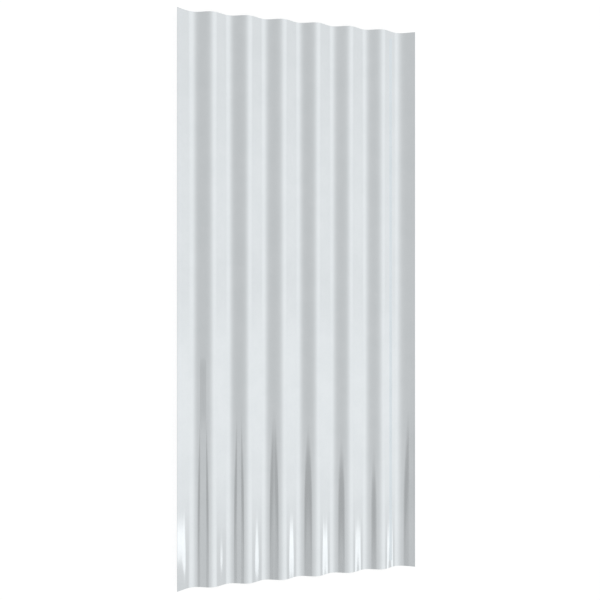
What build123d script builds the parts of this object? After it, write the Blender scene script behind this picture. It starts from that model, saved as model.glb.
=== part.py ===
from build123d import *

from itertools import pairwise
from math import copysign, cos, pi, radians, sin, tan
import os

# Corrugated steel sheet: one rolled piece, lying face up with its valleys on the floor.
# X runs across the waves, Y runs along them and Z is up.
# The origin is under the middle of the sheet, on the plane that the valleys rest on.

# Driving dimensions, in millimetres.
length = 1000.0  # along the waves, between the two sheared ends
width = 446.0  # across the waves, between the two long edges at the middle of the metal
valley_count = 7  # an odd number, so that one valley lies on the middle of the sheet
depth = 11.5  # from the underside of a valley to the top of a crest
thickness = 0.5  # of the metal, square to its faces
edge_run = 31.0  # across the sheet, from the outermost valley to the long edge
edge_straight = 7.5  # the flat stretch of that run, beside the long edge
edge_angle = 34.0  # degrees from level, of that stretch

# Between the outermost valleys the middle of the metal is a cosine wave.
half_pitch = (width / 2 - edge_run) / (valley_count - 1)
amplitude = (depth - thickness) / 2
steepest_slope = amplitude * pi / half_pitch

# Beyond them it bends up to the angle of the edge and then runs straight on to the cut.
outer_valley = width / 2 - edge_run
edge_bend = edge_run - edge_straight
edge_slope = tan(radians(edge_angle))

# Each curve of a face is drawn through this many equal steps across the sheet.
curve_steps = 8


def middle_line(across):
    """Rise above the valleys and slope of the middle of the metal, at a place across the sheet."""
    past_valley = abs(across) - outer_valley
    if past_valley <= 0:
        turn = pi * across / half_pitch
        return amplitude * (1 - cos(turn)), steepest_slope * sin(turn)
    turn = pi / 2 * min(past_valley / edge_bend, 1)
    bend_rise = edge_slope * edge_bend * (1 - cos(turn)) * 2 / pi
    straight_rise = edge_slope * max(past_valley - edge_bend, 0)
    return bend_rise + straight_rise, copysign(edge_slope * sin(turn), across)


def face_point(across, side):
    """A point on the top of the metal for side 1, or on its underside for side -1."""
    rise, slope = middle_line(across)
    outward = Vector(-slope, 1).normalized()
    return Vector(across, thickness / 2 + rise) + outward * (side * thickness / 2)


def face_curve(start, end, side):
    """A curve of one face between two places across the sheet. It meets its neighbours smoothly."""
    places = [start + (end - start) * step / curve_steps for step in range(curve_steps + 1)]
    points = [face_point(place, side) for place in places]
    return Spline(points, tangents=[(1, middle_line(place)[1]) for place in (start, end)])


def face_line(side):
    """One face of the metal from the left long edge to the right one: a straight, the bends from
    crest to valley, and a straight."""
    edge = width / 2
    bend_end = outer_valley + edge_bend
    turning_places = [count * half_pitch for count in range(1 - valley_count, valley_count)]
    left = Line(face_point(-edge, side), face_point(-bend_end, side))
    right = Line(face_point(bend_end, side), face_point(edge, side))
    bends = [face_curve(start, end, side) for start, end in pairwise([-bend_end, *turning_places, bend_end])]
    return [left, *bends, right]


def corrugated_sheet():
    """The wave's section, closed by the two long edges and drawn out from end to end. The lines along
    the crests and valleys stay as edges, because screws and battens meet the sheet there."""
    top = face_line(1)
    under = face_line(-1)
    left_edge = Line(top[0] @ 0, under[0] @ 0)
    right_edge = Line(top[-1] @ 1, under[-1] @ 1)
    section = make_face([*top, *under, left_edge, right_edge])
    far_end = Plane.XZ.offset(-length / 2)
    return extrude(far_end * section, amount=length, clean=False)


os.makedirs("parts", exist_ok=True)
export_step(corrugated_sheet(), "parts/corrugated_sheet.step")
print(f"pitch {2 * half_pitch:.2f} mm, steepest inner slope {steepest_slope:.3f}")
print(f"rise of the long edges {middle_line(width / 2)[0]:.2f} mm")
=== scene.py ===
import math

import bmesh
import bpy
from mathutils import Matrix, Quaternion, Vector


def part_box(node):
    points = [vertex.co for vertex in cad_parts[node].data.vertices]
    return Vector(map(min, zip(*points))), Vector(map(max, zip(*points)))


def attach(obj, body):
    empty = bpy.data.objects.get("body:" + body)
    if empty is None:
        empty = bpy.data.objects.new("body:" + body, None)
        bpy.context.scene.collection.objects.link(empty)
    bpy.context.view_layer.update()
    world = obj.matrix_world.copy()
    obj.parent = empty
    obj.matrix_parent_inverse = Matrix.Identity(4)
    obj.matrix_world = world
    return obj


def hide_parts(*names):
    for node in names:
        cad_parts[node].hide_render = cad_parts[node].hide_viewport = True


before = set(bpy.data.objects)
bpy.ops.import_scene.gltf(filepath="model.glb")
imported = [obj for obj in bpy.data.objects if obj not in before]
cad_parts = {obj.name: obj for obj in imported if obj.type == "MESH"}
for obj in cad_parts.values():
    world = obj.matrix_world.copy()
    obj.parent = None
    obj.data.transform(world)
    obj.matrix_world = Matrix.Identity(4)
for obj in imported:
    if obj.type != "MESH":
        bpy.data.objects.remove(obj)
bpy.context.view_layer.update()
print("frame loaded:", sorted(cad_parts))


# A wire is one socket of a node tree. Sums on wires become Math nodes.
class Wire:
    def __init__(self, tree, socket=None):
        self.tree = tree
        self.socket = socket

    # any node: its settings first, then the values or links of its sockets
    def node(self, kind, settings=None, values=None, output=0):
        made = self.tree.nodes.new(kind)
        for name, value in (settings or {}).items():
            if name == "stops":
                self.setStops(made.color_ramp, value)
            else:
                setattr(made, name, value)
        for name, value in (values or {}).items():
            if isinstance(value, Wire):
                self.tree.links.new(value.socket, made.inputs[name])
            else:
                made.inputs[name].default_value = value
        return Wire(self.tree, made.outputs[output] if made.outputs else None)

    def setStops(self, ramp, stops):
        ramp.interpolation = "CARDINAL"
        while len(ramp.elements) < len(stops):
            ramp.elements.new(0.5)  # each gets its own place below
        for element, (place, grey) in zip(ramp.elements, stops):
            element.position = place
            element.color = (grey, grey, grey, 1.0)

    def maths(self, operation, first, second):
        return self.node("ShaderNodeMath", {"operation": operation}, {0: first, 1: second})

    def __add__(self, other):
        return self.maths("ADD", self, other)

    def __radd__(self, other):
        return self.maths("ADD", other, self)

    def __sub__(self, other):
        return self.maths("SUBTRACT", self, other)

    def __rsub__(self, other):
        return self.maths("SUBTRACT", other, self)

    def __mul__(self, other):
        return self.maths("MULTIPLY", self, other)

    def __rmul__(self, other):
        return self.maths("MULTIPLY", other, self)

    def __abs__(self):
        return self.maths("ABSOLUTE", self, 0.0)

    # 0 at low, 1 at high and an easy bend between
    def ease(self, low, high):
        limits = {"Value": self, "From Min": low, "From Max": high}
        return self.node("ShaderNodeMapRange", {"interpolation_type": "SMOOTHSTEP"}, limits)

    # X, Y or Z of a place or a direction
    def axis(self, name):
        return self.node("ShaderNodeSeparateXYZ", values={"Vector": self}, output=name)

    # the grey at this place on a ramp
    def ramp(self, stops):
        tone = self.node("ShaderNodeValToRGB", {"stops": stops}, {"Fac": self})
        return self.node("ShaderNodeRGBToBW", values={"Color": tone})

    # a colour from first at 0 to second at 1. The Mix node's sockets for colours go by number.
    def tint(self, first, second):
        tones = {0: self, 6: first, 7: second}
        return self.node("ShaderNodeMix", {"data_type": "RGBA"}, tones, 2)


# Nodes of a material, the world or a lamp, with none in place yet
def emptyNodes(owner):
    owner.use_nodes = True
    owner.node_tree.nodes.clear()
    return Wire(owner.node_tree)


def newMaterial(name):
    material = bpy.data.materials.new(name)
    return material, emptyNodes(material)


def finishMaterial(start, values):
    shader = start.node("ShaderNodeBsdfPrincipled", values=values)
    start.node("ShaderNodeOutputMaterial", values={"Surface": shader})


# Paint with no gloss, which gives off light of its own
def finishPaint(start, grey, light, cover=1.0):
    paint = {"Base Color": (grey, grey, grey, 1.0), "Roughness": 1.0, "Specular IOR Level": 0.0}
    glow = {"Emission Color": light, "Emission Strength": 1.0}
    finishMaterial(start, {**paint, **glow, "Alpha": cover})


def newPiece(name, bm, materials):
    mesh = bpy.data.meshes.new(name)
    bm.to_mesh(mesh)
    bm.free()
    for material in materials:
        mesh.materials.append(material)
    piece = bpy.data.objects.new(name, mesh)
    bpy.context.scene.collection.objects.link(piece)
    return piece


noiseMiddle = 0.5  # a noise runs from 0 to 1

# Bright zinc face, with faint lines from the rolls, a slight cloudiness and fine spangle
zincFace = {
    "colour": (0.876, 0.915, 0.938, 1.0),
    "cloudColour": (0.850, 0.891, 0.914, 1.0),
    "roughness": 0.065,
    "lineRoughness": 0.03,  # from the smoothest roll line to the roughest
    "cloudRoughness": 0.02,  # more in a cloud
    "linesPerMetre": 420.0,  # across the sheet
    "lineDraw": 1.3,  # the same pattern along the sheet, per metre
    "lineDetail": 3.0,
    "lineHeight": 0.000004,
    "cloudsPerMetre": 22.0,
    "cloudDetail": 4.0,
    "cloudEdge": (0.35, 0.65),  # levels of the noise between which a cloud sets in
    "cloudShare": 0.7,  # of the change in colour. The rest is spangle.
    "spanglesPerMetre": 170.0,
}


def makeZincFace(look):
    material, start = newMaterial("zincFace")
    place = start.node("ShaderNodeTexCoord", output="Object")
    drawn = {"Vector": place, "Scale": (look["linesPerMetre"], look["lineDraw"], 0.0)}
    linePlace = start.node("ShaderNodeMapping", values=drawn)
    lineSize = {"Vector": linePlace, "Scale": 1.0, "Detail": look["lineDetail"]}
    lines = start.node("ShaderNodeTexNoise", values=lineSize)
    cloudSize = {"Vector": place, "Scale": look["cloudsPerMetre"], "Detail": look["cloudDetail"]}
    clouds = start.node("ShaderNodeTexNoise", values=cloudSize)
    cellSize = {"Vector": place, "Scale": look["spanglesPerMetre"]}
    cells = start.node("ShaderNodeTexVoronoi", {"feature": "F1"}, cellSize, "Color")
    cell = start.node("ShaderNodeSeparateColor", values={"Color": cells}, output="Red")

    share = look["cloudShare"]
    cloudy = clouds.ease(*look["cloudEdge"]) * share + cell * (1 - share)
    colour = cloudy.tint(look["colour"], look["cloudColour"])
    lined = look["lineRoughness"] * (lines - noiseMiddle)
    roughness = look["roughness"] + lined + look["cloudRoughness"] * cloudy
    bumps = {"Height": lines, "Strength": 1.0, "Distance": look["lineHeight"]}
    normal = start.node("ShaderNodeBump", values=bumps)
    metal = {"Base Color": colour, "Metallic": 1.0, "Roughness": roughness, "Normal": normal}
    finishMaterial(start, metal)
    return material


# Sheared rim, where the steel under the zinc shows
shearedRim = {
    "colour": (0.50, 0.51, 0.52, 1.0),
    "dullColour": (0.40, 0.40, 0.41, 1.0),
    "roughness": 0.38,
    "markRoughness": 0.2,  # from the smoothest shear mark to the roughest
    "marksPerMetre": 600.0,
}


def makeShearedRim(look):
    material, start = newMaterial("shearedRim")
    place = start.node("ShaderNodeTexCoord", output="Object")
    marks = start.node("ShaderNodeTexNoise", values={"Vector": place, "Scale": look["marksPerMetre"]})
    colour = marks.tint(look["colour"], look["dullColour"])
    roughness = look["roughness"] + look["markRoughness"] * (marks - noiseMiddle)
    finishMaterial(start, {"Base Color": colour, "Metallic": 1.0, "Roughness": roughness})
    return material


# The sheet: a flat grid bent into waves, then given the thickness of the metal
sheet = {
    "width": 0.446,  # at the middle of the metal
    "valleys": 7,
    "rise": 0.011,  # from valley to crest
    "edgeRun": 0.031,  # from the outer valley to the long edge
    "edgeStraight": 0.0075,  # the flat stretch of that run
    "edgeDegrees": 34.0,
    "thickness": 0.0005,
    "stepsAcross": 288,
    "stepsAlong": 60,
    "rimRound": 0.0001,
    "rimSteps": 2,
    "rimDegrees": 60.0,  # only corners that turn by more are rounded
}


# Height of the middle of the metal above the valleys: even waves, and a straight run up to each long edge
def waveHeight(size, across):
    outerValley = size["width"] / 2 - size["edgeRun"]
    pastValley = abs(across) - outerValley
    if pastValley <= 0:
        halfPitch = outerValley / (size["valleys"] - 1)
        return size["rise"] / 2 * (1 - math.cos(math.pi * across / halfPitch))
    bend = size["edgeRun"] - size["edgeStraight"]
    turn = math.pi / 2 * min(pastValley / bend, 1)
    bendRise = bend * (1 - math.cos(turn)) * 2 / math.pi
    return math.tan(math.radians(size["edgeDegrees"])) * (bendRise + max(pastValley - bend, 0))


def makeSheet(size, low, high, materials):
    bm = bmesh.new()
    bmesh.ops.create_grid(bm, x_segments=size["stepsAcross"], y_segments=size["stepsAlong"], size=0.5)
    bmesh.ops.scale(bm, vec=(size["width"], high.y - low.y, 1.0), verts=bm.verts)
    for vert in bm.verts:
        vert.co.z = size["thickness"] / 2 + waveHeight(size, vert.co.x)
    for face in bm.faces:
        face.smooth = True
    piece = newPiece("corrugatedSheet", bm, materials)

    wall = piece.modifiers.new("wall", "SOLIDIFY")
    wall.thickness = size["thickness"]
    wall.offset = 0.0
    wall.use_even_offset = True
    wall.material_offset_rim = 1  # the second material, the bare steel
    rim = piece.modifiers.new("rim", "BEVEL")
    rim.width = size["rimRound"]
    rim.segments = size["rimSteps"]
    rim.limit_method = "ANGLE"
    rim.angle_limit = math.radians(size["rimDegrees"])
    rim.harden_normals = True
    return piece


zinc = makeZincFace(zincFace)
steel = makeShearedRim(shearedRim)
print("materials made:", zinc.name, steel.name)

nodeLow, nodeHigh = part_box("corrugated_sheet")
corrugatedSheet = makeSheet(sheet, nodeLow, nodeHigh, [zinc, steel])
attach(corrugatedSheet, "root")
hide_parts("corrugated_sheet")
print("sheet made:", len(corrugatedSheet.data.polygons), "faces before its thickness")


# White studio floor, on which a faint shadow shows, with a painted shadow darkening its glow under and
# just beside the sheet
floorLook = {
    "reach": 30.0,
    "drop": 0.0002,  # under the valleys
    "grey": 0.36,
    "glow": 0.785,
    "shadeReach": 0.06,  # how far from the metal the painted shadow in the glow reaches
    "shadeSamples": 16,
    "shade": (0.02, 0.34),  # open share of the sky, from the darkest painted shadow to the full glow
}


def makeFloor(look):
    material, start = newMaterial("studioFloor")
    isCamera = start.node("ShaderNodeLightPath", output="Is Camera Ray")
    isGlossy = start.node("ShaderNodeLightPath", output="Is Glossy Ray")
    isThrough = start.node("ShaderNodeLightPath", output="Is Transmission Ray")
    seen = (isCamera + isGlossy + isThrough).ease(0.0, 1.0)
    samples = {"samples": look["shadeSamples"]}
    reach = {"Distance": look["shadeReach"]}
    # ambient occlusion darkens the floor's glow near the sheet: a painted contact shadow
    paintedShadowOcclusion = start.node("ShaderNodeAmbientOcclusion", samples, reach, "AO")
    finishPaint(start, look["grey"], seen * paintedShadowOcclusion.ease(*look["shade"]) * look["glow"])
    bm = bmesh.new()
    bmesh.ops.create_grid(bm, x_segments=1, y_segments=1, size=look["reach"])
    bmesh.ops.translate(bm, vec=(0.0, 0.0, -look["drop"]), verts=bm.verts)
    return newPiece("studioFloor", bm, [material])


floor = makeFloor(floorLook)
print("floor made")


# Surround of the studio: grey on the left, white on the right and dim behind both ends
surround = {
    # place from left to right and its grey
    "stops": [
        (0.20, 0.608),
        (0.36, 0.685),
        (0.50, 0.778),
        (0.61, 0.852),
        (0.72, 0.892),
        (0.80, 0.888),
        (0.88, 0.898),
        (1.0, 0.905),
    ],
    # place along the right wall, from its near end to its far end, and its share of that grey
    "wallStops": [
        (0.20, 0.79),
        (0.245, 0.89),
        (0.275, 0.945),
        (0.37, 0.985),
        (0.46, 0.972),
        (0.515, 0.928),
        (0.58, 0.945),
        (0.70, 0.925),
        (0.80, 0.89),
    ],
    "wallSide": (0.62, 0.80),  # where the right wall starts
    "ends": (0.42, 0.62),  # where the end walls start and where they are at their full dimness
    "endDim": 0.33,
    "horizonRise": 0.15,  # height up to which the white of the floor goes on
}


def makeSurround(look):
    world = bpy.data.worlds.new("studioSurround")
    start = emptyNodes(world)
    toward = start.node("ShaderNodeTexCoord", output="Generated")
    side = toward.axis("X")
    along = toward.axis("Y")
    up = toward.axis("Z")
    grey = (side * 0.5 + 0.5).ramp(look["stops"])  # all directions, from -1 to 1
    wallShare = (along + 0.5).ramp(look["wallStops"])  # the middle half of them
    grey = grey * (1 - (1 - wallShare) * side.ease(*look["wallSide"]))
    endStart, endFull = look["ends"]
    grey = grey * (1 - look["endDim"] * (along * along).ease(endStart**2, endFull**2))
    horizon = 1 - up.ease(0.0, look["horizonRise"])
    light = grey + (1 - grey) * horizon
    shader = start.node("ShaderNodeBackground", values={"Color": light, "Strength": 1.0})
    start.node("ShaderNodeOutputWorld", values={"Surface": shader})
    bpy.context.scene.world = world


# Dark cards over the left side, which only show as dark lines on the waves
lineCard = {
    "height": 5.5,
    "x": (-4.79, -2.65),
    "y": (-3.73, -1.45),
    "lean": 0.268,  # how far y falls back for each step in x
    "soft": (0.36, 0.07),  # fade of the end nearest the sheet and of the far end
    "sideSoft": 1.00,  # fade of the right side
    "greys": (0.430, 0.518),  # of the part nearest the sheet and of the rest
    "fade": (-2.12, -2.60),  # from where to where the grey changes, in y
}
edgeCard = {
    "height": 0.45,
    "x": (-0.90, -0.545),
    "y": (-0.345, -0.145),
    "lean": 0.0,
    "soft": (0.012, 0.09),
    "sideSoft": 0.03,
    "greys": (0.53, 0.53),
    "fade": (-0.20, -0.30),
}


def makeDarkCard(name, look):
    material, start = newMaterial(name)
    place = start.node("ShaderNodeTexCoord", output="Object")
    across = place.axis("X")
    left, right = look["x"]
    far, near = look["y"]
    nearSoft, farSoft = look["soft"]
    middle = (left + right) / 2
    leaned = place.axis("Y") + look["lean"] * (across - middle)
    dark, pale = look["greys"]
    light = dark + (pale - dark) * leaned.ease(*look["fade"])
    cover = leaned.ease(near, near - nearSoft) * leaned.ease(far, far + farSoft)
    cover = cover * across.ease(right, right - look["sideSoft"])
    finishPaint(start, 0.0, light, cover)
    bm = bmesh.new()
    bmesh.ops.create_grid(bm, x_segments=1, y_segments=1, size=0.5)
    bmesh.ops.scale(bm, vec=(right - left, near - far, 1.0), verts=bm.verts)
    bmesh.ops.translate(bm, vec=(middle, (far + near) / 2, look["height"]), verts=bm.verts)
    for vert in bm.verts:
        vert.co.y -= look["lean"] * (vert.co.x - middle)
    card = newPiece(name, bm, [material])
    card.visible_camera = False
    card.visible_diffuse = False
    card.visible_shadow = False
    return card


# Side lamp, which makes the white streaks at the near end
lamp = {
    "aim": (0.0, -0.41, 0.006),
    "toward": (0.9210, -0.2841, 0.2698),  # from the aim
    "distance": 4.0,
    "width": 0.41,
    "height": 0.95,
    "leanDegrees": 20.0,
    "softSide": (1.044, 0.627),  # shares of the width between which it fades in, from its far side
    "bow": 0.282,  # how far that side falls back above and below
    "bowPlace": 0.62,  # share of the height where it doesn't
    "bowReach": 0.35,  # share of the height over which it does
    "radiance": 0.357,
}


def makeLamp(look):
    data = bpy.data.lights.new("sideLamp", "AREA")
    data.shape = "ELLIPSE"
    data.size = look["width"]
    data.size_y = look["height"]
    area = math.pi / 4 * look["width"] * look["height"]
    data.energy = look["radiance"] * math.pi * area
    start = emptyNodes(data)
    place = start.node("ShaderNodeNewGeometry", output="Parametric")
    bowed = look["bow"] * abs(place.axis("Y") - look["bowPlace"]).ease(0.0, look["bowReach"])
    fading = (place.axis("X") + bowed).ease(*look["softSide"])
    shader = start.node("ShaderNodeEmission", values={"Color": fading, "Strength": 1.0})
    start.node("ShaderNodeOutputLight", values={"Surface": shader})
    light = bpy.data.objects.new("sideLamp", data)
    toward = Vector(look["toward"]).normalized()
    light.location = Vector(look["aim"]) + toward * look["distance"]
    lean = Quaternion((0.0, 0.0, 1.0), math.radians(look["leanDegrees"]))
    light.rotation_euler = (toward.to_track_quat("Z", "Y") @ lean).to_euler()
    light.visible_camera = False
    bpy.context.scene.collection.objects.link(light)


makeSurround(surround)
makeDarkCard("lineCard", lineCard)
makeDarkCard("edgeCard", edgeCard)
makeLamp(lamp)
print("light made")


# The camera looks down on the sheet, from a little to its left
cameraPlace = {
    "location": (-0.4523, -0.0011, 1.4366),
    "turnDegrees": -17.552,
    "lens": 50.0,
    "sensor": 36.0,
}


def makeCamera(place):
    data = bpy.data.cameras.new("camera")
    data.lens = place["lens"]
    data.sensor_width = place["sensor"]
    camera = bpy.data.objects.new("camera", data)
    camera.location = place["location"]
    camera.rotation_euler = (0.0, math.radians(place["turnDegrees"]), 0.0)
    bpy.context.scene.collection.objects.link(camera)
    bpy.context.scene.camera = camera


makeCamera(cameraPlace)
bpy.context.scene.view_settings.view_transform = "Standard"
print("camera set")
